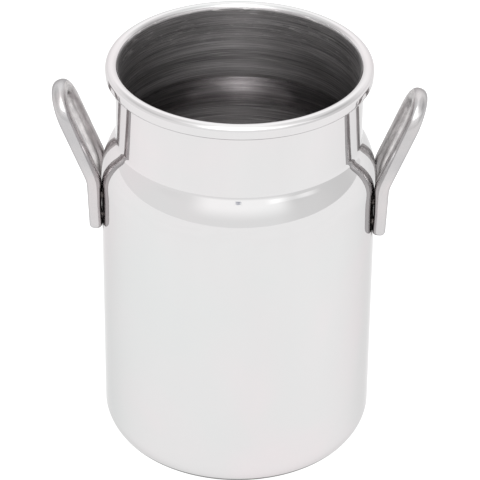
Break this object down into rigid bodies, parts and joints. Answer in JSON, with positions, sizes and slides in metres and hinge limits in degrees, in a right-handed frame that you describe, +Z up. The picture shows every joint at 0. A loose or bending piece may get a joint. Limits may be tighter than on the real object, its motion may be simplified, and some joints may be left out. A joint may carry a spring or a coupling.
{
  "type": "milk can",
  "caption": "Open stainless-steel table milk can with a straight round body, stepped shoulder, narrower neck, outward-curled rim and fixed loop side handles.",
  "frame": {"origin": "centre of the base, on the surface that the can stands on", "axes": "+Z up along the can's axis; the two handles lie on +X and -X; the front is -Y"},
  "size_m": [0.0942, 0.07, 0.108],
  "materials": {
    "polished_steel": "mirror-polished stainless steel, not plated: outside of the can, rim and handles",
    "brushed_steel": "unpolished stainless steel: lathe-brushed inside of the can, and the welds"
  },
  "bodies": {
    "root": {"can_body": "polished_steel", "left_handle": "polished_steel", "right_handle": "polished_steel", "left_handle_welds": "brushed_steel", "right_handle_welds": "brushed_steel"}
  },
  "joints": []
}
